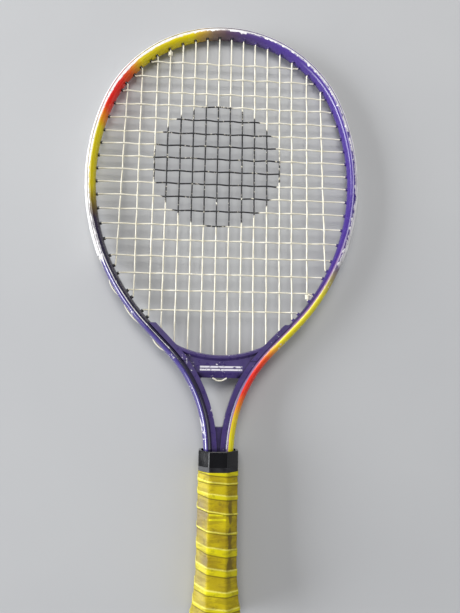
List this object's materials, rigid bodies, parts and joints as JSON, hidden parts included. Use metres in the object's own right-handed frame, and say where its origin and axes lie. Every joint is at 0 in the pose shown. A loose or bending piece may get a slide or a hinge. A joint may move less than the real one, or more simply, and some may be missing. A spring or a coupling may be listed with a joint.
{
  "type": "tennis racket",
  "caption": "Junior tennis racket: strung oval hoop of bent aluminium tube, open throat with a moulded bridge, and an octagonal wrapped handle with a flared butt.",
  "frame": {"origin": "middle of the flat end face of the butt", "axes": "+Y along the racket from the butt to the tip of the head, +X across the face, +Z square to the strings; the strings' mid-plane is Z = 0"},
  "size_m": [0.2514, 0.5306, 0.039],
  "materials": {
    "painted_aluminium": "gloss paint, faded purple into yellow and red",
    "bridge_plastic": "satin purple-grey",
    "guard_plastic": "worn pale grey",
    "grommet_plastic": "matte black",
    "string_nylon": "cream, slightly glossy",
    "rivet_aluminium": "plain",
    "pallet_plastic": "plain moulded",
    "pin_steel": "plain",
    "cap_plastic": "black",
    "grip_tape": "worn yellow, brown where it is rubbed",
    "finishing_tape": "black",
    "collar_rubber": "glossy black"
  },
  "bodies": {
    "racket": {"frame_tube": "painted_aluminium", "throat_bridge": "bridge_plastic", "bridge_rivets": "rivet_aluminium", "bumper_guard": "guard_plastic", "grommet_strip_head": "grommet_plastic", "grommet_strip_left": "grommet_plastic", "grommet_strip_right": "grommet_plastic", "main_string": "string_nylon", "cross_string": "string_nylon", "tie_off_knots": "string_nylon", "handle_half_upper": "pallet_plastic", "handle_half_lower": "pallet_plastic", "handle_pins": "pin_steel", "butt_cap": "cap_plastic", "butt_cap_staples": "pin_steel", "grip_wrap": "grip_tape", "finishing_tape": "finishing_tape"},
    "collar": {"grip_collar": "collar_rubber"}
  },
  "joints": [
    {"name": "collar_slide", "type": "slide", "parent": "racket", "child": "collar", "axis": [0, 1, 0], "range_m": [0, 0.01]}
  ]
}
